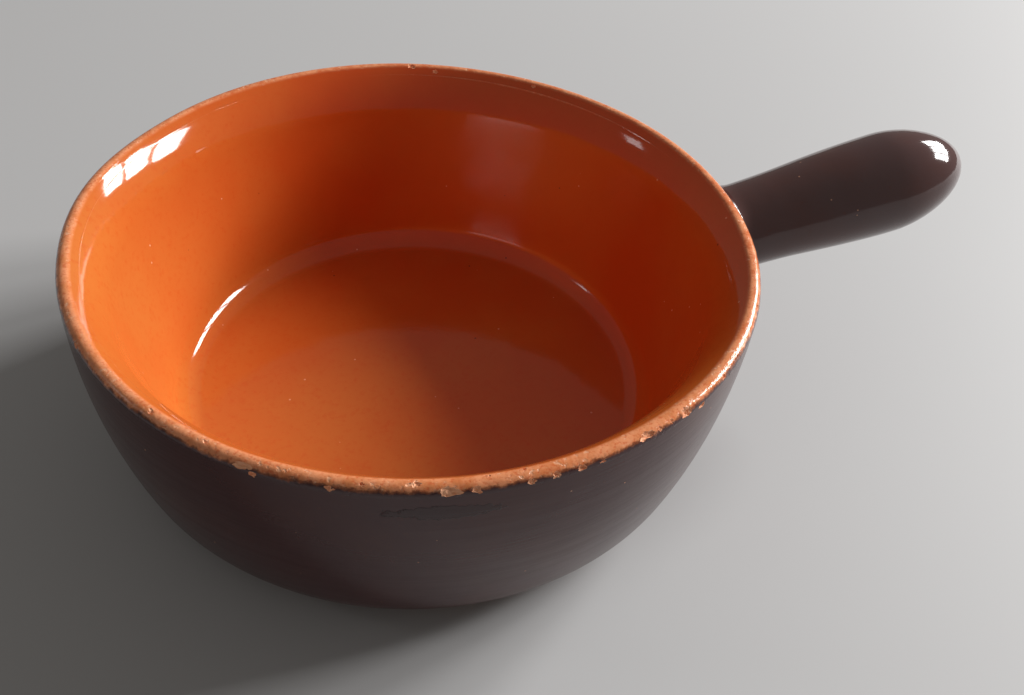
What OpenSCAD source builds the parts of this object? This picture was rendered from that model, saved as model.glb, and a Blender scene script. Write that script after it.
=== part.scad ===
// Glazed earthenware sauce pan: a deep round bowl with one hollow stick handle.
// Millimetres, +Z up. The origin is the centre of the foot, on the bowl's axis,
// and the handle points along +X.

/* [Bowl] */
// Outer diameter at the widest place, just under the rim
bowl_d = 170; // [140:1:210]
// Height from the foot to the top of the rim
bowl_h = 61.5; // [56:0.5:80]
// How far the widest place of the wall lies below the top of the rim
belly_drop = 8; // [5:0.5:20]
// Radius of the wall's outer curve, seen in section
wall_r = 140; // [110:1:220]
// Radius of the round corner between the wall and the foot, outside
corner_r = 20; // [12:0.5:28]
// How far the foot's edge lies above the lowest point of the corner's curve
foot_lift = 0.1; // [0.1:0.1:1.5]

/* [Rim and inside] */
// Thickness of the rounded rim, glaze included
rim_t = 4.2; // [3:0.1:6]
// Lean from upright of the inner lip where it leaves the rim, in degrees
lip_lean = 46; // [30:1:60]
// Radius of the flared inner lip, seen in section
lip_r = 24; // [8:1:40]
// Lean from upright of the inner wall, in degrees
wall_lean = 13; // [8:0.5:18]
// Radius of the corner between the inner wall and the floor
inner_corner_r = 7.5; // [3:0.5:14]
// Thickness of the clay floor
floor_t = 6.5; // [4:0.5:10]

/* [Handle] */
// How far the handle's axis lies below the top of the rim, at the bowl
handle_drop = 14.8; // [14.8:0.1:24]
// Rise of the handle above level, in degrees
handle_tilt = 12.2; // [0:0.1:25]
// Length of the handle along its axis, from the bowl's widest place to the tip
handle_l = 74; // [60:0.1:110]
// Radius of the handle at the bowl
root_r = 11.8; // [9:0.1:13]
// Radius of the handle at its thickest place
swell_r = 14.3; // [12:0.1:18]
// Distance of the thickest place from the bowl, along the axis
swell_at = 50.5; // [40:0.5:56]
// How full the rounded end is: 2 is an ellipse, less is more pointed
end_shape = 1.8; // [1.5:0.1:3]
// Thickness of the hollow handle's clay wall
handle_wall = 4; // [2.5:0.1:6]
// Diameter of the vent hole under the handle
vent_d = 3; // [2:0.5:5]
// Distance of the vent hole from the bowl, along the axis
vent_at = 16; // [12:0.5:30]

/* [Joint between the handle and the bowl] */
// Width of the slip round the handle's root
slip_w = 2.2; // [1.5:0.1:3]

/* [Glaze] */
// Thickness of the glaze coats
glaze_t = 0.5; // [0.3:0.1:0.8]
// How far the orange glaze runs down the outside, below the rim's rounding
glaze_lap = 0.3; // [0.1:0.1:2]
// Height above the foot of the lower edge of the brown glaze
glaze_edge_z = 2.6; // [1.5:0.1:6]

/* [Hidden] */
$fn = 240;

// Colours
terracotta = [0.72, 0.36, 0.21];
slip = [0.66, 0.33, 0.20];
orange = [0.80, 0.33, 0.11];
brown = [0.13, 0.08, 0.07];

// Outer wall: one long curve, then the corner's curve, which touches it from inside
bowl_r = bowl_d / 2;
belly_z = bowl_h - belly_drop;
wall_c = [bowl_r - wall_r, belly_z];
joint_a = -asin((belly_z - corner_r) / (wall_r - corner_r));
corner_c = wall_c + (wall_r - corner_r) * [cos(joint_a), sin(joint_a)];
edge_a = -asin((corner_r - glaze_edge_z) / (corner_r - glaze_t));
foot_a = -asin(1 - foot_lift / (corner_r - glaze_t));

// Rim: a round roll, which touches the wall's curve from inside
roll_r = rim_t / 2;
roll_a = asin((bowl_h - roll_r - belly_z) / (wall_r - roll_r));
roll_c = wall_c + (wall_r - roll_r) * [cos(roll_a), sin(roll_a)];
meet_z = bowl_h - roll_r - glaze_lap;
meet_a = asin((meet_z - belly_z) / wall_r);

// Inside: the lip's curve, a straight wall that leans, the corner's curve and the floor
floor_z = floor_t + glaze_t;
lip_c = roll_c + (roll_r - lip_r) * [-cos(lip_lean), sin(lip_lean)];
lip_end = lip_c + lip_r * [-cos(wall_lean), sin(wall_lean)];
inner_c_z = floor_z + inner_corner_r;
wall_run = (lip_end[1] + inner_corner_r * sin(wall_lean) - inner_c_z) / cos(wall_lean);
inner_c = lip_end + inner_corner_r * [-cos(wall_lean), sin(wall_lean)]
    - wall_run * [sin(wall_lean), cos(wall_lean)];

// Handle: the part that runs into the bowl before it is cut, and the length of its round end
handle_z = bowl_h - handle_drop;
root_in = 8;
end_l = handle_l - swell_at;

// Slip round the root: a cone square to the wall, cut by the wall, the handle and the rim's glaze
slip_a = asin((handle_z - belly_z) / wall_r);
slip_c = wall_c + wall_r * [cos(slip_a), sin(slip_a)];
slip_in = 3;
slip_out = 7;

// Points on an arc round c from angle a0 to angle a1
function arc(c, r, a0, a1, n) =
    [for (i = [0 : n]) let (a = a0 + (a1 - a0) * i / n) c + r * [cos(a), sin(a)]];

// Outside of the bowl, under `depth` of glaze, from the two glazes' meeting line down to angle `low_a`
function outside(depth, low_a) = concat(
    arc(wall_c, wall_r - depth, meet_a, joint_a, 14),
    arc(corner_c, corner_r - depth, joint_a, low_a, 10)
);

// Rim and inside of the bowl, under `depth` of glaze, from the meeting line to the floor's centre
function inside(depth) = concat(
    arc(wall_c, wall_r - depth, meet_a, roll_a, 1),
    arc(roll_c, roll_r - depth, roll_a, 180 - lip_lean, 12),
    arc(lip_c, lip_r - depth, 180 - lip_lean, 180 - wall_lean, 8),
    arc(inner_c, inner_corner_r + depth, -wall_lean, -90, 8),
    [[0, floor_z - depth]]
);

function reversed(points) = [for (i = [len(points) - 1 : -1 : 0]) points[i]];

// The glaze's or the clay's whole bowl as if it had no hollow, to cut against
module full_bowl(depth) {
    top_z = bowl_h - depth;
    rotate_extrude()
        polygon(concat(
            [[0, 0], [corner_c[0], depth]],
            reversed(outside(depth, -90)),
            arc(roll_c, roll_r - depth, roll_a, 90, 6),
            [[0, top_z]]
        ));
}

// Radius of the handle along its axis, up to its thickest place
function girth(s) = let (u = max(0, s / swell_at)) root_r + (swell_r - root_r) * u * u * (3 - 2 * u);

// Section of the handle, `depth` under its finished surface, from inside the bowl to the tip
function handle_outline(depth) = concat(
    [[0, -root_in], [root_r - depth, -root_in]],
    [for (i = [0 : 8]) let (s = swell_at * i / 8) [girth(s) - depth, s]],
    [for (i = [1 : 14]) let (v = sin(90 * i / 14))
        [(swell_r - depth) * sqrt(max(0, 1 - pow(v, end_shape))), swell_at + (end_l - depth) * v]]
);

module handle_solid(depth) {
    translate([bowl_r, 0, handle_z])
        rotate([0, 90 - handle_tilt, 0])
            rotate_extrude()
                polygon(handle_outline(depth));
}

// The slip under `cover` of glaze is a cone at 45 degrees, and its glaze is the same cone moved out
module slip_solid(cover) {
    foot = root_r + slip_w - 2 * glaze_t + cover * sqrt(2);
    difference() {
        translate([slip_c[0], 0, slip_c[1]])
            rotate([0, 90 - slip_a, 0])
                translate([0, 0, -slip_in])
                    cylinder(h = slip_in + slip_out, r1 = foot + slip_in, r2 = foot - slip_out);
        translate([0, -bowl_r, meet_z])
            cube([2 * bowl_r, 2 * bowl_r, bowl_r]);
    }
}

module vent_hole() {
    translate([bowl_r, 0, handle_z])
        rotate([0, 90 - handle_tilt, 0])
            translate([0, 0, vent_at])
                rotate([0, 90, 0])
                    cylinder(h = 2 * root_r, d = vent_d);
}

module bowl_body() {
    color(terracotta)
        rotate_extrude()
            polygon(concat(
                inside(glaze_t),
                [[0, 0], [corner_c[0] + (corner_r - glaze_t) * cos(foot_a), 0]],
                reversed(outside(glaze_t, foot_a))
            ));
}

module inner_glaze() {
    color(orange)
        rotate_extrude()
            polygon(concat(inside(0), reversed(inside(glaze_t))));
}

module outer_glaze() {
    color(brown)
        difference() {
            rotate_extrude()
                polygon(concat(outside(0, edge_a), reversed(outside(glaze_t, edge_a))));
            slip_solid(0);
        }
}

module handle_body() {
    color(terracotta)
        difference() {
            handle_solid(glaze_t);
            handle_solid(glaze_t + handle_wall);
            full_bowl(glaze_t);
            vent_hole();
        }
}

module luting_slip() {
    color(slip)
        difference() {
            slip_solid(0);
            handle_solid(glaze_t);
            full_bowl(glaze_t);
        }
}

module handle_glaze() {
    color(brown)
        difference() {
            union() {
                handle_solid(0);
                slip_solid(glaze_t);
            }
            handle_solid(glaze_t);
            slip_solid(0);
            full_bowl(0);
            vent_hole();
        }
}

bowl_body();
handle_body();
luting_slip();
inner_glaze();
outer_glaze();
handle_glaze();
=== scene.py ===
"""Looks of a glazed earthenware sauce pan: clay, orange and brown glaze coats, chips, stage and camera.

Metres, +Z up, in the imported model's frame: the origin is the foot's centre and the handle points along +X.
"""

from math import asin, atan2, cos, hypot, pi, radians, remainder, sin, sqrt

import bpy
from mathutils import Matrix, Vector, noise


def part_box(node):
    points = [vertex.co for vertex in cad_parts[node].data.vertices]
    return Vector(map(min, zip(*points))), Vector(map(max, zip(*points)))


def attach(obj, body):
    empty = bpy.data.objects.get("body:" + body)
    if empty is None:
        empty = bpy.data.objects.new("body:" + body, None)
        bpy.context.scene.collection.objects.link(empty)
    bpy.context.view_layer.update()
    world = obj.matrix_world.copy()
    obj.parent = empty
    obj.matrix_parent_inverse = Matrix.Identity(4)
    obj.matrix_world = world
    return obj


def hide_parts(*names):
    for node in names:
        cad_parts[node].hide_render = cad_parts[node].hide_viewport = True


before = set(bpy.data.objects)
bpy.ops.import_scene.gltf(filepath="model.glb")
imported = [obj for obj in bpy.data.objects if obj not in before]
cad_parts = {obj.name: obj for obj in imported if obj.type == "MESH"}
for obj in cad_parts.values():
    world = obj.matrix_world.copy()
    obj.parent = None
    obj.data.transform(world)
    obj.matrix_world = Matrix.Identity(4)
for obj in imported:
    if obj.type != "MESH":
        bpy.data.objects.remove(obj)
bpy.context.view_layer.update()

bl_info = {
    "name": "Glazed Sauce Pan",
    "version": (1, 0, 0),
    "blender": (4, 5, 0),
    "location": "3D View > Sidebar > Sauce Pan",
    "description": "Builds the clay, glazes, chips and stage of a sauce pan with one handle",
    "category": "Object",
}

MM = 0.001
RIM_RADIUS = round(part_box("outer_glaze")[1].y, 4)
RIM_HEIGHT = round(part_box("inner_glaze")[1].z, 4)


def length(text, help_text, default):
    return bpy.props.FloatProperty(
        name=text, description=help_text, default=default, unit="LENGTH", precision=4
    )


def angle(text, help_text, default):
    """An angle, whose default is given in degrees."""
    return bpy.props.FloatProperty(
        name=text, description=help_text, default=radians(default), subtype="ANGLE"
    )


def colour(text, help_text, default):
    return bpy.props.FloatVectorProperty(
        name=text, description=help_text, default=default, size=3, subtype="COLOR", min=0, max=1
    )


def number(text, help_text, default):
    """A value from 0 to 1."""
    return bpy.props.FloatProperty(
        name=text, description=help_text, default=default, subtype="FACTOR", min=0, max=1
    )


def amount(text, help_text, default):
    """A plain value, whose unit its description says."""
    return bpy.props.FloatProperty(name=text, description=help_text, default=default)


class PanSizes(bpy.types.PropertyGroup):
    """Sizes of the bowl and its handle: the solids' sizes, and the fillet's own."""

    rim_radius: length("Rim radius", "Radius at the widest place", RIM_RADIUS)
    rim_height: length("Rim height", "Height of the rim above the foot", RIM_HEIGHT)
    belly_drop: length("Belly drop", "Depth of the widest place below the rim", 8 * MM)
    wall_radius: length("Wall radius", "Radius of the wall's outer curve", 140 * MM)
    corner_radius: length("Corner radius", "Radius between the wall and the foot", 20 * MM)
    foot_lift: length("Foot lift", "Height of the foot's edge over the corner's lowest point", 0.1 * MM)
    rim_thickness: length("Rim thickness", "Thickness of the rounded rim", 4.2 * MM)
    lip_lean: angle("Lip lean", "Lean of the inner lip at the rim", 46)
    lip_radius: length("Lip radius", "Radius of the flared inner lip", 24 * MM)
    wall_lean: angle("Wall lean", "Lean of the inner wall", 13)
    inner_corner: length("Inner corner", "Radius between the inner wall and the floor", 7.5 * MM)
    floor_thickness: length("Floor thickness", "Thickness of the clay floor", 6.5 * MM)
    glaze: length("Glaze", "Thickness of the glaze coats", 0.5 * MM)
    glaze_lap: length("Glaze lap", "Run of the orange glaze below the rim's rounding", 0.3 * MM)
    glaze_edge: length("Glaze edge", "Height of the brown glaze's lower edge", 2.6 * MM)
    handle_drop: length("Handle drop", "Depth of the handle's axis below the rim", 14.8 * MM)
    handle_tilt: angle("Handle tilt", "Rise of the handle above level", 12.2)
    handle_length: length("Handle length", "Length from the bowl to the tip", 74 * MM)
    root_radius: length("Root radius", "Radius of the handle at the bowl", 11.8 * MM)
    swell_radius: length("Swell radius", "Radius at the thickest place", 14.3 * MM)
    swell_at: length("Swell place", "Distance of the thickest place from the bowl", 50.5 * MM)
    fillet: length("Fillet", "Length of the glaze's fillet round the handle's root", 5.5 * MM)
    vent: length("Vent", "Diameter of the vent hole", 3 * MM)
    vent_at: length("Vent place", "Distance of the vent hole from the bowl", 16 * MM)


class PanFinish(bpy.types.PropertyGroup):
    """Colours and gloss of the clay and the glazes."""

    orange: colour("Orange", "Orange glaze where it lies thin", (0.66, 0.180, 0.034))
    # The deep orange is the glaze's own deeper tone in its mottles and on the rim, and also painted shade on
    # the handle's side and the back of the inside
    deep_orange_and_shade: colour("Deep orange", "Orange glaze where it lies thick", (0.63, 0.080, 0.011))
    rim_orange: colour("Rim orange", "Orange glaze where it is worn thin on the rim", (0.92, 0.360, 0.170))
    brown: colour("Brown", "Brown glaze where it lies thick", (0.058, 0.017, 0.018))
    brown_light: colour("Light brown", "Brown glaze on the handle", (0.098, 0.056, 0.055))
    brown_thin: colour("Thin brown", "Brown glaze where it breaks over an edge", (0.130, 0.030, 0.013))
    clay: colour("Clay", "Fired clay of the foot", (0.50, 0.235, 0.125))
    chip: colour("Chip", "Pale clay inside a chip", (0.93, 0.49, 0.29))
    gloss: number("Gloss roughness", "Roughness of the glazes", 0.05)


class PanStage(bpy.types.PropertyGroup):
    """Camera, lamps and floor."""

    eye: bpy.props.FloatVectorProperty(
        name="Eye",
        description="Place of the camera",
        default=(-0.04492, -0.20213, 0.2127),
        size=3,
        unit="LENGTH",
    )
    turn: angle("Turn", "Turn of the view from +Y towards +X", 19.8)
    pitch: angle("Pitch", "Angle of the view below level", 42.8)
    roll: angle("Roll", "Roll of the camera", 5.34)
    focal_length: amount("Focal length", "Millimetres on a 36 mm sensor", 35.79)
    window_turn: angle("Window turn", "Direction of the window, from +X towards +Y", 12)
    window_distance: length("Window distance", "Level distance of the window from the pan", 2.2)
    window_height: length("Window height", "Height of the window's middle above the floor", 1.17)
    window_power: amount("Window power", "Watts of one window pane", 31)
    lamp_turn: angle("Lamp turn", "Direction of the small lamp, from +X towards +Y", 166)
    lamp_power: amount("Lamp power", "Watts of the small lamp", 0.4)
    sky: number("Sky", "Strength of the even light of the room", 0.16)
    floor: colour("Floor", "Colour of the floor", (0.56, 0.56, 0.565))


def sizes():
    return bpy.context.scene.pan_sizes


def looks():
    return bpy.context.scene.pan_finish


def arc(centre, radius, start, end, count):
    """Points on an arc, as (distance from the bowl's axis, height)."""
    turns = [start + (end - start) * step / count for step in range(count + 1)]
    return [(centre[0] + radius * cos(turn), centre[1] + radius * sin(turn)) for turn in turns]


class Section:
    """The bowl's section, worked out from its sizes. A depth is measured down from the glaze's surface."""

    def __init__(self, pan):
        self.pan = pan
        self.belly = pan.rim_height - pan.belly_drop
        self.wall = (pan.rim_radius - pan.wall_radius, self.belly)
        reach = pan.wall_radius - pan.corner_radius
        self.joint = -asin((self.belly - pan.corner_radius) / reach)
        self.corner = (self.wall[0] + reach * cos(self.joint), self.wall[1] + reach * sin(self.joint))
        clay_corner = pan.corner_radius - pan.glaze
        self.edge = -asin((pan.corner_radius - pan.glaze_edge) / clay_corner)
        self.foot = -asin(1 - pan.foot_lift / clay_corner)
        self.foot_radius = self.corner[0] + clay_corner * cos(self.foot)
        self.roll_radius = pan.rim_thickness / 2
        reach = pan.wall_radius - self.roll_radius
        self.roll_start = asin((pan.rim_height - self.roll_radius - self.belly) / reach)
        self.roll = (self.wall[0] + reach * cos(self.roll_start), self.wall[1] + reach * sin(self.roll_start))
        self.meet_height = pan.rim_height - self.roll_radius - pan.glaze_lap
        self.meet = asin((self.meet_height - self.belly) / pan.wall_radius)
        reach = self.roll_radius - pan.lip_radius
        self.lip = (self.roll[0] - reach * cos(pan.lip_lean), self.roll[1] + reach * sin(pan.lip_lean))
        lip_end = (
            self.lip[0] - pan.lip_radius * cos(pan.wall_lean),
            self.lip[1] + pan.lip_radius * sin(pan.wall_lean),
        )
        self.floor = pan.floor_thickness + pan.glaze
        centre_height = self.floor + pan.inner_corner
        run = (lip_end[1] + pan.inner_corner * sin(pan.wall_lean) - centre_height) / cos(pan.wall_lean)
        self.inner = (
            lip_end[0] - pan.inner_corner * cos(pan.wall_lean) - run * sin(pan.wall_lean),
            centre_height,
        )

    def outside(self, depth, low, wall_steps=44, corner_steps=26):
        """From the glazes' meeting line down the outside to the corner's angle `low`."""
        pan = self.pan
        return (
            arc(self.wall, pan.wall_radius - depth, self.meet, self.joint, wall_steps)
            + arc(self.corner, pan.corner_radius - depth, self.joint, low, corner_steps)[1:]
        )

    def inside(self, depth, fine=1.0):
        """From the meeting line over the rim and down the inside to the floor's centre."""
        pan = self.pan
        lip = arc(self.lip, pan.lip_radius - depth, pi - pan.lip_lean, pi - pan.wall_lean, round(16 * fine))
        corner = arc(self.inner, pan.inner_corner + depth, -pan.wall_lean, -pi / 2, round(16 * fine))
        wall_steps = round(16 * fine)
        wall = between(lip[-1], corner[0], wall_steps)
        floor = between(corner[-1], (0, self.floor - depth), round(20 * fine))
        rim = arc(self.roll, self.roll_radius - depth, self.roll_start, pi - pan.lip_lean, round(22 * fine))
        start = arc(self.wall, pan.wall_radius - depth, self.meet, self.roll_start, 1)
        return start + rim[1:] + lip[1:] + wall + corner[1:] + floor + [(0, self.floor - depth)]


def between(start, end, steps):
    """Points along a straight line, without its two ends."""
    return [
        (start[0] + (end[0] - start[0]) * step / steps, start[1] + (end[1] - start[1]) * step / steps)
        for step in range(1, steps)
    ]


def deselect_all():
    """Leaves edit mode and selects nothing."""
    if bpy.context.object and bpy.context.object.mode != "OBJECT":
        bpy.ops.object.mode_set(mode="OBJECT")
    bpy.ops.object.select_all(action="DESELECT")


# Edges that turn by more than this stay sharp, and points nearer than this are one point
SHARP = radians(38)
MERGE = 0.002 * MM


def close_and_smooth(piece):
    """Merges what meets, points the faces outwards and smooths all but the sharp edges."""
    bpy.ops.object.mode_set(mode="EDIT")
    bpy.ops.mesh.select_all(action="SELECT")
    bpy.ops.mesh.remove_doubles(threshold=MERGE)
    bpy.ops.mesh.delete_loose()
    bpy.ops.mesh.select_all(action="SELECT")
    bpy.ops.mesh.normals_make_consistent(inside=False)
    bpy.ops.object.mode_set(mode="OBJECT")
    bpy.ops.object.shade_smooth_by_angle(angle=SHARP)
    piece.select_set(False)


def turned_piece(name, outline, steps):
    """A closed section of (radius, height) points, spun once round the bowl's axis."""
    deselect_all()
    bpy.ops.mesh.primitive_circle_add(vertices=len(outline), radius=RIM_RADIUS, fill_type="NOTHING")
    piece = bpy.context.object
    piece.name = name
    piece.data.name = name
    for vertex, (radius, height) in zip(piece.data.vertices, outline):
        vertex.co = (radius, 0, height)
    bpy.ops.object.mode_set(mode="EDIT")
    bpy.ops.mesh.select_all(action="SELECT")
    bpy.ops.mesh.spin(steps=steps, angle=2 * pi, center=(0, 0, 0), axis=(0, 0, 1), use_auto_merge=True)
    close_and_smooth(piece)
    return piece


def lofted_piece(name, rings):
    """A grid through rings of points, closed round each ring and from the last ring to the first."""
    deselect_all()
    bpy.ops.mesh.primitive_grid_add(
        x_subdivisions=len(rings[0]), y_subdivisions=len(rings) - 1, size=RIM_RADIUS
    )
    piece = bpy.context.object
    piece.name = name
    piece.data.name = name
    points = [point for ring in rings for point in [*ring, ring[0]]]
    for vertex, point in zip(piece.data.vertices, points, strict=True):
        vertex.co = point
    close_and_smooth(piece)
    return piece


# Places where the rim was pushed out of round while it was wet: direction and half-width in degrees, and
# the outward move in millimetres
PUSHES = [(-35, 44, 1.1), (157, 24, 0.8), (46, 42, -0.8)]


def out_of_round(turn):
    """The rim's outward move in this direction, in millimetres."""
    total = 0
    for centre, half_width, move in PUSHES:
        off = abs(remainder(turn - radians(centre), 2 * pi)) / radians(half_width)
        if off < 1:
            total += move * cos(off * pi / 2) ** 2
    return total


# Height between two of the faint ridges that fingers leave in a turned wall
RIDGE_PITCH = 5.2 * MM


def hand_shape(point):
    """The small unevenness of hand work: where a point of the turned bowl really lies."""
    pan = sizes()
    x, y, z = point
    radius = hypot(x, y)
    if radius < 1 * MM:
        return Vector(point)
    share = min(1, radius / pan.rim_radius)
    turn = atan2(y, x)
    height = max(0, z / pan.rim_height)
    drift = Vector((1.6 * cos(turn), 1.6 * sin(turn), height))
    slow = noise.noise(drift + Vector((3.1, 7.7, 1.3))) * 0.5 - 0.25
    ridge = sin(2 * pi * z / RIDGE_PITCH + turn) * 0.5 - 0.5
    grow = (slow * 0.45 + ridge * 0.05 * (1 - abs(2 * height - 1))) * MM * height * share
    grow += out_of_round(turn) * MM * height**3 * share**2
    sway = noise.noise(Vector((1.3 * cos(turn), 1.3 * sin(turn), 9.2))) * 0.3 * MM * height**3
    scale = (radius + grow) / radius
    return Vector((x * scale, y * scale, z + min(0, sway - 0.1 * MM * height**3)))


def shape_by_hand(piece):
    for vertex in piece.data.vertices:
        vertex.co = hand_shape(vertex.co)


def cut(piece, cutter):
    """Takes the cutter's shape out of the piece."""
    bpy.context.view_layer.objects.active = piece
    modifier = piece.modifiers.new("cut", "BOOLEAN")
    modifier.operation = "DIFFERENCE"
    modifier.solver = "EXACT"
    modifier.object = cutter
    bpy.ops.object.modifier_apply(modifier=modifier.name)


class Wire:
    """A socket that gives a value or a vector; sums on a value add Math nodes."""

    def __init__(self, maker, socket):
        self.maker = maker
        self.socket = socket

    def __add__(self, other):
        return self.maker.math("ADD", self, other)

    def __radd__(self, other):
        return self.maker.math("ADD", other, self)

    def __sub__(self, other):
        return self.maker.math("SUBTRACT", self, other)

    def __rsub__(self, other):
        return self.maker.math("SUBTRACT", other, self)

    def __mul__(self, other):
        return self.maker.math("MULTIPLY", self, other)

    def __rmul__(self, other):
        return self.maker.math("MULTIPLY", other, self)

    def __truediv__(self, other):
        return self.maker.math("DIVIDE", self, other)

    def __pow__(self, other):
        return self.maker.math("POWER", self, other)

    def rise(self, start, end):
        """0 before start, 1 after end, and a smooth rise between them."""
        settings = {"interpolation_type": "SMOOTHSTEP"}
        inputs = {"Value": self, "From Min": start, "From Max": end}
        return self.maker.node("ShaderNodeMapRange", settings, inputs)

    def fall(self, start, end):
        """1 before start, 0 after end, and a smooth fall between them."""
        return 1 - self.rise(start, end)


class Maker:
    """Makes one material and its nodes."""

    def __init__(self, name):
        self.material = bpy.data.materials.new(name)
        self.material.use_nodes = True
        self.tree = self.material.node_tree
        self.shader = self.tree.nodes["Principled BSDF"]
        self.place = self.node("ShaderNodeTexCoord", {}, {}, "Object")

    def node(self, kind, settings, inputs, output=0):
        """Adds a node, sets it, then gives its sockets their values or links."""
        node = self.tree.nodes.new(kind)
        for key, value in settings.items():
            setattr(node, key, value)
        for key, value in inputs.items():
            self.feed(node.inputs[key], value)
        return Wire(self, node.outputs[output])

    def math(self, operation, *values):
        """A Math node on values, each of them wired or a number."""
        return self.node("ShaderNodeMath", {"operation": operation}, dict(enumerate(values)))

    def feed(self, socket, value):
        """Links a wired value to the socket, or sets the socket to a plain one."""
        if isinstance(value, Wire):
            self.tree.links.new(value.socket, socket)
        else:
            socket.default_value = value

    def surface(self, **values):
        """Feeds the shader's sockets, whose names have spaces where these have underscores."""
        for key, value in values.items():
            self.feed(self.shader.inputs[key.replace("_", " ")], value)

    def mix(self, share, first, second):
        """A colour between two colours, each of them wired or three numbers."""
        ends = [end if isinstance(end, Wire) else (*end, 1) for end in (first, second)]
        return self.node("ShaderNodeMix", {"data_type": "RGBA"}, {0: share, 6: ends[0], 7: ends[1]}, 2)

    def stretched(self, *scale):
        """The object's coordinates, scaled along each axis."""
        inputs = {0: self.place, 1: scale}
        return self.node("ShaderNodeVectorMath", {"operation": "MULTIPLY"}, inputs)

    def clouds(self, size, detail=2.0, roughness=0.5, place=None):
        """Soft noise with features of about this size, in metres."""
        inputs = {"Vector": place or self.place, "Scale": 1 / size, "Detail": detail, "Roughness": roughness}
        return self.node("ShaderNodeTexNoise", {}, inputs)

    def cells(self, size, output="Distance"):
        """Distance from, or a random colour of, the nearest of many scattered points."""
        return self.node("ShaderNodeTexVoronoi", {}, {"Vector": self.place, "Scale": 1 / size}, output)

    def apart(self, vector, axis):
        """One of a vector's three values."""
        return self.node("ShaderNodeSeparateXYZ", {}, {"Vector": vector}, axis)

    def around(self):
        """Distance from the bowl's axis, height and direction round it, as values."""
        flat = self.stretched(1, 1, 0)
        radius = self.node("ShaderNodeVectorMath", {"operation": "LENGTH"}, {0: flat}, "Value")
        x, y, z = (self.apart(self.place, axis) for axis in "XYZ")
        return radius, z, self.math("ARCTAN2", y, x)

    def push(self, turn):
        """The rim's outward move in this direction, in metres."""
        moves = []
        for centre, half_width, move in PUSHES:
            off = self.math("ABSOLUTE", turn - radians(centre))
            moves.append(off.fall(0, radians(half_width)) * move * MM)
        return sum(moves[1:], moves[0])

    def bump(self, height, depth):
        """Relief: a height of 1 stands `depth` metres out."""
        return self.node("ShaderNodeBump", {}, {"Height": height, "Distance": depth}, "Normal")


def scattered_specks(maker, size, share, radius):
    """1 inside small round specks on a share of the cells of this size."""
    near = maker.cells(size).fall(radius * 0.6, radius)
    chosen = maker.apart(maker.cells(size, "Color"), "X").rise(1 - share, 1 - share + 0.01)
    return near * chosen


def throwing_lines(maker, radius, height):
    """Fine rings that a potter's fingers and rib leave, as a height from 0 to 1."""
    rings = maker.node("ShaderNodeCombineXYZ", {}, {"X": radius, "Y": height, "Z": 0.0})
    inputs = {"Vector": rings, "Scale": 1 / (1.4 * MM), "Detail": 2.0}
    return maker.node("ShaderNodeTexNoise", {"noise_dimensions": "2D"}, inputs)


# Height that a relief of 1 stands out of the glazes, and out of the clay
GLAZE_RELIEF = 0.10 * MM
CLAY_RELIEF = 0.12 * MM

# Painted shade: the orange glaze is drawn deeper red towards this direction, the handle's side and the back,
# in full at this distance from the bowl's axis
PAINTED_SHADE_TURN = radians(50)
PAINTED_SHADE_REACH = 70 * MM


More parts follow.
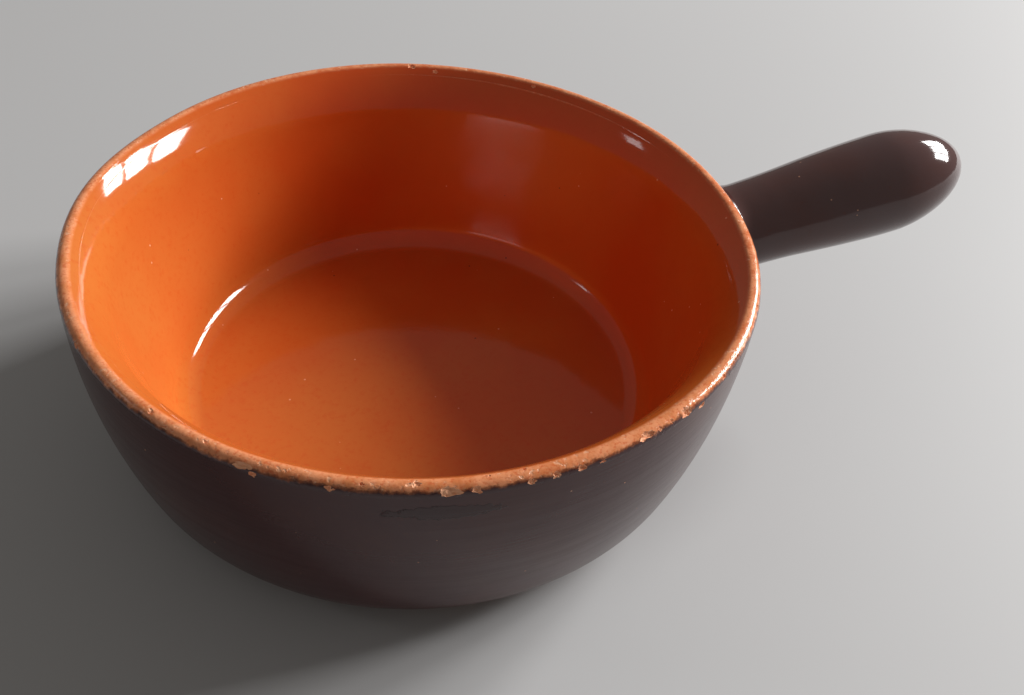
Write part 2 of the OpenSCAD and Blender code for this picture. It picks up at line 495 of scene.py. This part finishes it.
def orange_glaze():
    """Glossy orange glaze, worn on the rim, where the brown glaze laps up over its outer edge, with painted
    shade in deep red on the handle's side and back.
    """
    finish, section = looks(), Section(sizes())
    maker = Maker("glossy_orange")
    radius, height, turn = maker.around()
    # Painted shade: three quarters of this mix turns the glaze deep red towards the handle's side and back;
    # the cloudy quarter is the glaze's own uneven tone
    side = radius * maker.math("COSINE", turn - PAINTED_SHADE_TURN) / PAINTED_SHADE_REACH
    thick = side.rise(-0.7, 0.9) * 0.75 + maker.clouds(38 * MM, 3.0).rise(0.35, 0.68) * 0.25
    base = maker.mix(thick, finish.orange, finish.deep_orange_and_shade)
    mottle = maker.clouds(1.6 * MM, 3.0, 0.65).rise(0.48, 0.75)
    base = maker.mix(mottle * 0.35, base, finish.deep_orange_and_shade)
    base = maker.mix(scattered_specks(maker, 5 * MM, 0.3, 0.07) * 0.7, base, finish.chip)
    base = maker.mix(scattered_specks(maker, 7 * MM, 0.3, 0.05) * 0.8, base, finish.brown_thin)
    across, up = radius - section.roll[0] - maker.push(turn), height - section.roll[1]
    away = (across * across + up * up) ** 0.5
    bearing = maker.math("ARCTAN2", up, across)
    on_roll = away.fall(section.roll_radius * 1.2, section.roll_radius * 1.5) * bearing.fall(1.9, 2.5)
    wear = maker.clouds(4 * MM, 4.0, 0.7).rise(0.30, 0.62)
    grain = maker.clouds(0.9 * MM, 3.0, 0.65)
    base = maker.mix(on_roll * (0.35 + wear * 0.6), base, finish.rim_orange)
    base = maker.mix(on_roll * grain.fall(0.34, 0.50) * 0.5, base, finish.deep_orange_and_shade)
    flecks = maker.clouds(1.4 * MM, 3.0, 0.6).rise(0.56, 0.68)
    flecks = on_roll * flecks * maker.clouds(7 * MM).rise(0.38, 0.56)
    base = maker.mix(flecks * 0.75, base, finish.chip)
    ragged = maker.clouds(2.6 * MM, 5.0, 0.72)
    outer = on_roll * across.rise(-0.4 * MM, 0.4 * MM)
    edge = bearing - 0.56 + (0.5 - ragged) * 1.5 + (0.5 - maker.clouds(16 * MM)) * 0.5
    base = maker.mix(outer * edge.fall(-0.06, 0.30) * 0.85, base, finish.brown_thin)
    base = maker.mix(outer * edge.fall(-0.28, -0.04), base, finish.brown)
    scoured = height.fall(44 * MM, 53 * MM) * height.rise(14 * MM, 20 * MM)
    rough = finish.gloss + 0.01 + scoured * 0.13 + maker.clouds(12 * MM, 3.0) * 0.03
    rough = rough + on_roll * wear * 0.06 + flecks * 0.3
    relief = (
        maker.clouds(9 * MM, 1.0) * 0.7
        + maker.clouds(2.2 * MM, 2.0) * 0.12
        + throwing_lines(maker, radius, height) * 0.10
        + on_roll * maker.clouds(3.2 * MM, 3.0, 0.6) * 1.0
        + on_roll * grain * 0.9
        - flecks * 0.5
    )
    maker.surface(Base_Color=base, Roughness=rough, Normal=maker.bump(relief, GLAZE_RELIEF), IOR=1.52)
    return maker.material


# The dark run on the bowl's outside: direction, height, and half of its length and of its width
RUN_TURN, RUN_HEIGHT = radians(-98.6), 54.6 * MM
RUN_HALF_LENGTH, RUN_HALF_WIDTH = radians(7.8), 2.0 * MM


def brown_glaze():
    """Glossy, very dark brown glaze, hazier on the bowl, rusty at its lower edge, with one dark run."""
    pan, finish = sizes(), looks()
    maker = Maker("glossy_brown")
    radius, height, turn = maker.around()
    on_bowl = radius.fall(pan.rim_radius + 0.9 * MM, pan.rim_radius + 1.8 * MM)
    base = maker.mix(on_bowl, finish.brown_light, finish.brown)
    base = maker.mix(maker.clouds(24 * MM, 3.0).rise(0.35, 0.7) * 0.20, base, finish.brown_thin)
    mottle = maker.clouds(1.3 * MM, 3.0, 0.65).rise(0.55, 0.8)
    base = maker.mix(mottle * 0.25, base, finish.brown_thin)
    ragged = maker.clouds(2.6 * MM, 5.0, 0.72)
    low = (height - ragged * 1.6 * MM).fall(pan.glaze_edge - 0.2 * MM, pan.glaze_edge + 1.0 * MM)
    base = maker.mix(low * 0.75, base, finish.brown_thin)
    base = maker.mix(scattered_specks(maker, 3.4 * MM, 0.25, 0.07) * 0.55, base, finish.chip)
    along, beside = (turn - RUN_TURN) / RUN_HALF_LENGTH, (height - RUN_HEIGHT) / RUN_HALF_WIDTH
    run_form = (along * along + beside * beside) ** 0.5 + (ragged - 0.5) * 1.6
    run = run_form.fall(0.86, 0.96) * radius.rise(70 * MM, 72 * MM)
    base = maker.mix(run * 0.65, base, tuple(value * 0.5 for value in finish.brown))
    rough = finish.gloss + 0.02 + maker.clouds(14 * MM, 3.0) * 0.05 + on_bowl * 0.14
    relief = (
        maker.clouds(10 * MM, 1.0) * 1.2
        + maker.clouds(2.4 * MM, 2.0) * 0.20
        + throwing_lines(maker, radius, height) * on_bowl * 0.35
        + run * 1.0
    )
    maker.surface(Base_Color=base, Roughness=rough, Normal=maker.bump(relief, GLAZE_RELIEF), IOR=1.48)
    return maker.material


def fired_clay(name, tone, sand):
    """Matt clay with specks of sand in this strength, and the rings of the wheel."""
    finish = looks()
    maker = Maker(name)
    radius, height, _ = maker.around()
    base = maker.mix(maker.clouds(9 * MM, 4.0, 0.6).rise(0.3, 0.7) * 0.3, tone, finish.rim_orange)
    base = maker.mix(scattered_specks(maker, 1.6 * MM, 0.35, 0.22) * sand, base, finish.brown_thin)
    base = maker.mix(scattered_specks(maker, 1.2 * MM, 0.3, 0.2) * sand, base, finish.chip)
    grain = maker.clouds(0.5 * MM, 3.0, 0.6)
    relief = grain * 0.5 + throwing_lines(maker, radius, height) * 0.8
    rough = 0.78 + grain * 0.15
    maker.surface(Base_Color=base, Roughness=rough, Normal=maker.bump(relief, CLAY_RELIEF))
    return maker.material


def material(name):
    """One of the pan's materials, made when it is first asked for."""
    makers = {
        "glossy_orange": orange_glaze,
        "glossy_brown": brown_glaze,
        "fired_clay": lambda: fired_clay("fired_clay", looks().clay, 0.5),
        "chipped_clay": lambda: fired_clay("chipped_clay", looks().chip, 0.15),
    }
    return bpy.data.materials.get(name) or makers[name]()


def dress(piece, slot, node, *materials):
    """Gives a new piece its materials and its place in the frame."""
    piece.data.materials.clear()
    for name in materials:
        piece.data.materials.append(material(name))
    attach(piece, "root")
    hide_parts(node)


# Steps in which the bowl's pieces are spun round
STEPS_ROUND = 540

# Half-height, in millimetres, of the pebbles that cut the chips
PEBBLE = 1.4

# Chips of the rim: direction in degrees round the bowl, bearing on the rim's roll in degrees (0 outwards,
# 90 up), then length along the rim, width across it and depth into it in millimetres
CHIPS = [
    (-57.2, -6, 1.8, 1.3, 0.35),
    (-60.7, 36, 3.4, 3.2, 0.55),
    (-64.0, 40, 1.7, 1.4, 0.35),
    (-66.1, 42, 1.4, 1.1, 0.30),
    (-68.9, 48, 3.8, 2.2, 0.45),
    (-76.5, 14, 1.5, 1.0, 0.30),
    (-79.9, 22, 1.9, 1.2, 0.35),
    (-83.6, 27, 1.6, 2.0, 0.35),
    (-87.3, 18, 1.9, 1.8, 0.40),
    (-87.7, 106, 1.2, 0.8, 0.25),
    (-92.9, 98, 1.0, 0.8, 0.25),
    (-94.5, 22, 2.2, 1.7, 0.35),
    (-98.3, 31, 3.7, 2.4, 0.28),
    (-102.7, 86, 2.7, 2.1, 0.35),
    (-109.5, 66, 1.1, 0.8, 0.25),
    (-113.6, 24, 1.5, 1.0, 0.30),
    (-124.1, 5, 1.6, 1.2, 0.35),
    (-125.3, 38, 4.6, 2.2, 0.30),
    (-131.9, 89, 1.3, 1.0, 0.25),
    (-138.2, 50, 3.0, 1.4, 0.28),
    (-141.9, 83, 1.6, 1.0, 0.25),
    (-51.0, 35, 1.4, 1.0, 0.30),
    (-33.0, 40, 1.8, 1.2, 0.35),
    (79.0, 108, 2.4, 2.0, 0.60),
    (74.0, 148, 1.4, 1.1, 0.30),
    (52.0, 140, 1.3, 1.0, 0.30),
    (121.0, 40, 2.6, 1.6, 0.40),
    (158.0, 25, 2.2, 1.4, 0.40),
    (-161.0, 30, 1.8, 1.2, 0.35),
]


def chip_cutter(number, turn, bearing, along, across, depth):
    """A rough pebble, set into the rim to the chip's depth, whose girth there is the chip's outline."""
    section = Section(sizes())
    deselect_all()
    bpy.ops.mesh.primitive_ico_sphere_add(subdivisions=4, radius=1)
    cutter = bpy.context.object
    turn, bearing = radians(turn), radians(bearing)
    out = Vector((cos(bearing) * cos(turn), cos(bearing) * sin(turn), sin(bearing)))
    tangent = Vector((-sin(turn), cos(turn), 0))
    ledge = out.cross(tangent)
    radius = section.roll[0] + section.roll_radius * cos(bearing)
    height = section.roll[1] + section.roll_radius * sin(bearing)
    place = hand_shape((radius * cos(turn), radius * sin(turn), height))
    girth_share = sqrt(1 - ((PEBBLE - depth) / PEBBLE) ** 2)
    place = place + out * (PEBBLE - depth) * MM
    for vertex in cutter.data.vertices:
        way = vertex.co.copy()
        rough = 1 + 0.34 * noise.noise(way * 1.6 + Vector((number * 5.1, 0, 0)))
        rough += 0.24 * noise.noise(way * 4.2 + Vector((0, number * 3.7, 0)))
        rough += 0.10 * noise.noise(way * 9.0 + Vector((0, 0, number * 2.3)))
        spread = way * rough * MM
        vertex.co = (
            place
            + tangent * spread.x * along / 2 / girth_share
            + ledge * spread.y * across / 2 / girth_share
            + out * spread.z * PEBBLE
        )
    cutter.data.materials.append(material("fired_clay"))
    cutter.data.materials.append(material("chipped_clay"))
    for face in cutter.data.polygons:
        face.material_index = 1
    return cutter


class PAN_OT_clay_bowl(bpy.types.Operator):
    """Turn the clay bowl, with its bare foot"""

    bl_idname = "pan.clay_bowl"
    bl_label = "Clay Bowl"

    def execute(self, context):
        pan = context.scene.pan_sizes
        section = Section(pan)
        under = between((0, 0), (section.foot_radius, 0), 12)
        outline = section.inside(pan.glaze, 0.6) + [(0, 0)] + under + [(section.foot_radius, 0)]
        outline += section.outside(pan.glaze, section.foot, 30, 20)[::-1]
        bowl = turned_piece("clay_bowl", outline, STEPS_ROUND)
        shape_by_hand(bowl)
        dress(bowl, "terracotta", "bowl_body", "fired_clay", "chipped_clay")
        return {"FINISHED"}


class PAN_OT_orange_coat(bpy.types.Operator):
    """Lay the orange glaze over the inside and the rim"""

    bl_idname = "pan.orange_coat"
    bl_label = "Orange Glaze"

    def execute(self, context):
        pan = context.scene.pan_sizes
        section = Section(pan)
        outline = section.inside(0) + section.inside(pan.glaze, 0.6)[::-1]
        coat = turned_piece("orange_coat", outline, STEPS_ROUND)
        shape_by_hand(coat)
        dress(coat, "orange_glaze", "inner_glaze", "glossy_orange", "chipped_clay")
        return {"FINISHED"}


class PAN_OT_brown_coat(bpy.types.Operator):
    """Lay the brown glaze over the outside"""

    bl_idname = "pan.brown_coat"
    bl_label = "Brown Glaze"

    def execute(self, context):
        pan = context.scene.pan_sizes
        section = Section(pan)
        outline = section.outside(0, section.edge) + section.outside(pan.glaze, section.edge, 30, 20)[::-1]
        coat = turned_piece("brown_coat", outline, STEPS_ROUND)
        self.let_edge_wander(coat, section)
        shape_by_hand(coat)
        dress(coat, "brown_glaze", "outer_glaze", "glossy_brown", "chipped_clay")
        self.open_at_handle(coat, pan)
        return {"FINISHED"}

    def let_edge_wander(self, coat, section):
        """The coat's lower edge runs a little up and down, as a dipped edge does."""
        for vertex in coat.data.vertices:
            x, y, z = vertex.co
            radius, turn = hypot(x, y), atan2(y, x)
            bearing = atan2(z - section.corner[1], radius - section.corner[0])
            near = max(0, min(1, (section.joint - bearing) / (section.joint - section.edge)))
            wave = noise.noise(Vector((3 * cos(turn), 3 * sin(turn), 4.4)))
            wave += 0.4 * noise.noise(Vector((11 * cos(turn), 11 * sin(turn), 2.2)))
            bearing += near ** 3 * (0.03 + 0.07 * wave)
            reach = hypot(radius - section.corner[0], z - section.corner[1])
            if z < section.corner[1]:
                radius = section.corner[0] + reach * cos(bearing)
                vertex.co = (radius * cos(turn), radius * sin(turn), section.corner[1] + reach * sin(bearing))

    def open_at_handle(self, coat, pan):
        """The coat leaves the clay bare where the handle is joined on."""
        deselect_all()
        bpy.ops.mesh.primitive_cylinder_add(vertices=96, radius=pan.root_radius + 0.4 * MM, depth=20 * MM)
        cutter = bpy.context.object
        cutter.data.transform(handle_place(pan))
        cut(coat, cutter)
        bpy.data.objects.remove(cutter)


def handle_place(pan):
    """The handle's own frame: Z along its axis, X down, from where the axis meets the bowl."""
    height = pan.rim_height - pan.handle_drop
    turn = Matrix.Rotation(pi / 2 - pan.handle_tilt, 4, "Y")
    return Matrix.Translation((pan.rim_radius, 0, height)) @ turn


def girth(pan, along):
    """Radius of the handle at a distance from the bowl, up to its thickest place."""
    share = max(0, along / pan.swell_at)
    return pan.root_radius + (pan.swell_radius - pan.root_radius) * share * share * (3 - 2 * share)


class PAN_OT_handle_coat(bpy.types.Operator):
    """Lay the brown glaze over the handle, with its fillet to the bowl"""

    bl_idname = "pan.handle_coat"
    bl_label = "Handle Glaze"

    sides = 144
    end_shape = 1.8  # How full the round end is: 2 is an ellipse
    reach = 12 * MM  # How far from the bowl's widest place the root's crossing is looked for

    def execute(self, context):
        pan = context.scene.pan_sizes
        self.pan, self.section, self.place = pan, Section(pan), handle_place(pan)
        turns = [2 * pi * side / self.sides for side in range(self.sides)]
        fillets = [self.fillet(turn) for turn in turns]
        rings = [list(ring) for ring in zip(*fillets)]
        starts = [self.crossing(turn, 0) + pan.fillet for turn in turns]
        rings += self.shaft(turns, starts, 0, 30)
        rings += self.tip(turns, 0, 22)
        rings += self.tip(turns, pan.glaze, 16)[::-1]
        inner = [self.crossing(turn, -pan.glaze * 0.9) for turn in turns]
        rings += self.shaft(turns, inner, pan.glaze, 12)[::-1]
        rings.append(rings[0])
        coat = lofted_piece("handle_coat", rings)
        self.finger_marks(coat)
        dress(coat, "brown_glaze", "handle_glaze", "glossy_brown")
        self.open_vent(coat)
        return {"FINISHED"}

    def at(self, along, turn, radius):
        """A point round the handle's axis; turn 0 is its top."""
        return self.place @ Vector((-radius * cos(turn), radius * sin(turn), along))

    def wall_gap(self, point):
        """Distance of a point outside the bowl's wall."""
        centre = self.section.wall
        return hypot(hypot(point.x, point.y) - centre[0], point.z - centre[1]) - self.pan.wall_radius

    def crossing(self, turn, gap):
        """Where, along the handle, its surface lies this far outside the wall."""
        low, high = -self.reach, self.reach
        for _ in range(40):
            middle = (low + high) / 2
            if self.wall_gap(self.at(middle, turn, girth(self.pan, middle))) < gap:
                low = middle
            else:
                high = middle
        return low

    def fillet(self, turn, steps=10):
        """Points from the wall to the handle on a curve that leaves both smoothly."""
        pan = self.pan
        along = self.crossing(turn, 0)
        corner = self.at(along, turn, girth(pan, along))
        end = self.at(along + pan.fillet, turn, girth(pan, along + pan.fillet))
        away = self.at(along, turn, 1) - self.at(along, turn, 0)
        leg = pan.fillet
        top = self.section.meet_height + 0.9 * MM
        if away.z > 0:
            leg = min(leg, (top - corner.z) / max(away.z, 0.001))
        start = self.on_wall(corner + away * leg)
        points = []
        for step in range(steps):
            share = step / steps
            points.append(start * (1 - share) ** 2 + corner * 2 * share * (1 - share) + end * share**2)
        return points

    def on_wall(self, point):
        """The nearest place on the bowl's wall, a hair under the glaze."""
        centre = self.section.wall
        radius, turn = hypot(point.x, point.y), atan2(point.y, point.x)
        reach = hypot(radius - centre[0], point.z - centre[1])
        scale = (self.pan.wall_radius - 0.12 * MM) / reach
        radius = centre[0] + (radius - centre[0]) * scale
        return Vector((radius * cos(turn), radius * sin(turn), centre[1] + (point.z - centre[1]) * scale))

    def shaft(self, turns, starts, depth, steps):
        """Rings from where the fillet ends to just before the thickest place."""
        rings = []
        for step in range(steps):
            places = [start + (self.pan.swell_at - start) * step / steps for start in starts]
            rings.append([self.at(s, turn, girth(self.pan, s) - depth) for s, turn in zip(places, turns)])
        return rings

    def tip(self, turns, depth, steps):
        """Rings from the thickest place to the tip."""
        pan = self.pan
        rings = []
        for step in range(steps + 1):
            share = sin(pi / 2 * step / steps)
            radius = (pan.swell_radius - depth) * sqrt(max(0, 1 - share**self.end_shape))
            along = pan.swell_at + (pan.handle_length - pan.swell_at - depth) * share
            rings.append([self.at(along, turn, radius) for turn in turns])
        return rings

    def finger_marks(self, coat):
        """Shallow hollows that shaping by hand leaves."""
        home = self.place.inverted()
        for vertex in coat.data.vertices:
            local = home @ vertex.co
            free = max(0, min(1, (local.z - 8 * MM) / (10 * MM)))
            mark = noise.noise(vertex.co * 60 + Vector((2.0, 5.0, 8.0))) * 0.5 - 0.5
            inward = Vector((-local.x, -local.y, 0))
            if inward.length > 0.5 * MM:
                local += inward.normalized() * -mark * free * 0.25 * MM
                vertex.co = self.place @ local

    def open_vent(self, coat):
        """The vent hole under the handle."""
        pan = self.pan
        deselect_all()
        bpy.ops.mesh.primitive_cylinder_add(vertices=48, radius=pan.vent / 2, depth=2 * pan.root_radius)
        cutter = bpy.context.object
        turn = Matrix.Rotation(pi / 2, 4, "Y")
        cutter.data.transform(self.place @ Matrix.Translation((pan.root_radius, 0, pan.vent_at)) @ turn)
        cut(coat, cutter)
        bpy.data.objects.remove(cutter)


class PAN_OT_chips(bpy.types.Operator):
    """Chip the rim through its glaze and into the clay"""

    bl_idname = "pan.chips"
    bl_label = "Rim Chips"

    def execute(self, context):
        cutters = [chip_cutter(number, *chip) for number, chip in enumerate(CHIPS)]
        deselect_all()
        for cutter in cutters:
            cutter.select_set(True)
        bpy.context.view_layer.objects.active = cutters[0]
        bpy.ops.object.join()
        for name in ("clay_bowl", "orange_coat", "brown_coat"):
            cut(bpy.data.objects[name], cutters[0])
        bpy.data.objects.remove(cutters[0])
        return {"FINISHED"}


class PAN_OT_inner_clay(bpy.types.Operator):
    """Give the clay handle and the slip, which stay from the solids, their materials"""

    bl_idname = "pan.inner_clay"
    bl_label = "Handle Clay"

    def execute(self, context):
        for name in ("handle_body", "luting_slip"):
            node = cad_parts[name]
            node.data.materials.clear()
            node.data.materials.append(material("fired_clay"))
        return {"FINISHED"}


class PAN_OT_stage(bpy.types.Operator):
    """Set up the floor, the window, the even light and the camera"""

    bl_idname = "pan.stage"
    bl_label = "Stage"

    floor_size = 6
    pane_size, pane_gap = (0.43, 0.69), 0.10
    lamp_size, lamp_place = (0.17, 0.17), (1.3, 0, 0.75)
    lamp_colour = (1.0, 0.99, 0.98)
    room_colour = (1.0, 0.95, 0.89, 1)
    backdrop = 0.9  # Strength of the room's light where the camera looks past the floor

    def execute(self, context):
        stage = context.scene.pan_stage
        self.lay_floor(stage)
        self.hang_window(stage)
        self.hang_pane("small_lamp", self.lamp_size, stage.lamp_turn, self.lamp_place, stage.lamp_power)
        self.light_room(stage)
        self.set_camera(context.scene, stage)
        context.scene.view_settings.view_transform = "Standard"
        return {"FINISHED"}

    def lay_floor(self, stage):
        deselect_all()
        bpy.ops.mesh.primitive_plane_add(size=self.floor_size)
        floor = bpy.context.object
        floor.name = "floor"
        maker = Maker("floor_paint")
        maker.surface(Base_Color=(*stage.floor, 1), Roughness=0.6)
        floor.data.materials.append(maker.material)

    def hang_window(self, stage):
        """Three panes of light side by side, on the handle's side of the pan."""
        for pane in (1, 2, 3):
            aside = (pane - 2) * (self.pane_size[0] + self.pane_gap)
            place = (stage.window_distance, aside, stage.window_height)
            name = f"window_pane_{pane}"
            self.hang_pane(name, self.pane_size, stage.window_turn, place, stage.window_power)

    def hang_pane(self, name, size, turn, place, power):
        """A rectangle of light that faces the stage from this direction and place."""
        lamp = bpy.data.lights.new(name, "AREA")
        lamp.shape = "RECTANGLE"
        lamp.size, lamp.size_y = size
        lamp.energy = power
        lamp.color = self.lamp_colour
        holder = bpy.data.objects.new(name, lamp)
        bpy.context.scene.collection.objects.link(holder)
        facing = Vector((place[0], 0, place[2])).to_track_quat("Z", "Y")
        around = Matrix.Rotation(turn, 4, "Z")
        holder.matrix_world = around @ Matrix.Translation(place) @ facing.to_matrix().to_4x4()
        holder.visible_camera = False

    def light_room(self, stage):
        world = bpy.data.worlds.new("room_light")
        bpy.context.scene.world = world
        world.use_nodes = True
        tree = world.node_tree
        background = tree.nodes["Background"]
        path = tree.nodes.new("ShaderNodeLightPath")
        mix = tree.nodes.new("ShaderNodeMix")
        mix.inputs[2].default_value = stage.sky
        mix.inputs[3].default_value = self.backdrop
        tree.links.new(path.outputs["Is Camera Ray"], mix.inputs[0])
        tree.links.new(mix.outputs[0], background.inputs["Strength"])
        background.inputs["Color"].default_value = self.room_colour

    def set_camera(self, scene, stage):
        lens = bpy.data.cameras.new("camera")
        camera = bpy.data.objects.new("camera", lens)
        scene.collection.objects.link(camera)
        lens.sensor_width = 36
        lens.lens = stage.focal_length
        camera.matrix_world = (
            Matrix.Translation(stage.eye)
            @ Matrix.Rotation(-stage.turn, 4, "Z")
            @ Matrix.Rotation(pi / 2 - stage.pitch, 4, "X")
            @ Matrix.Rotation(stage.roll, 4, "Z")
        )
        scene.camera = camera


OPERATORS = [
    PAN_OT_clay_bowl,
    PAN_OT_orange_coat,
    PAN_OT_brown_coat,
    PAN_OT_handle_coat,
    PAN_OT_chips,
    PAN_OT_inner_clay,
    PAN_OT_stage,
]


class PAN_PT_sidebar(bpy.types.Panel):
    """Lists the pan's pieces, sizes and finishes"""

    bl_idname = "PAN_PT_sidebar"
    bl_label = "Sauce Pan"
    bl_space_type = "VIEW_3D"
    bl_region_type = "UI"
    bl_category = "Sauce Pan"

    def draw(self, context):
        for operator in OPERATORS:
            self.layout.operator(operator.bl_idname)
        for group in (context.scene.pan_sizes, context.scene.pan_finish, context.scene.pan_stage):
            box = self.layout.box()
            for name in type(group).__annotations__:
                box.prop(group, name)


GROUPS = {"pan_sizes": PanSizes, "pan_finish": PanFinish, "pan_stage": PanStage}


def register():
    for name, group in GROUPS.items():
        bpy.utils.register_class(group)
        setattr(bpy.types.Scene, name, bpy.props.PointerProperty(type=group))
    for operator in OPERATORS:
        bpy.utils.register_class(operator)
    bpy.utils.register_class(PAN_PT_sidebar)


def unregister():
    bpy.utils.unregister_class(PAN_PT_sidebar)
    for operator in reversed(OPERATORS):
        bpy.utils.unregister_class(operator)
    for name, group in GROUPS.items():
        delattr(bpy.types.Scene, name)
        bpy.utils.unregister_class(group)


def main():
    """Builds every piece and the stage."""
    register()
    for operator in OPERATORS:
        family, name = operator.bl_idname.split(".")
        getattr(getattr(bpy.ops, family), name)()


if __name__ == "__main__":
    main()
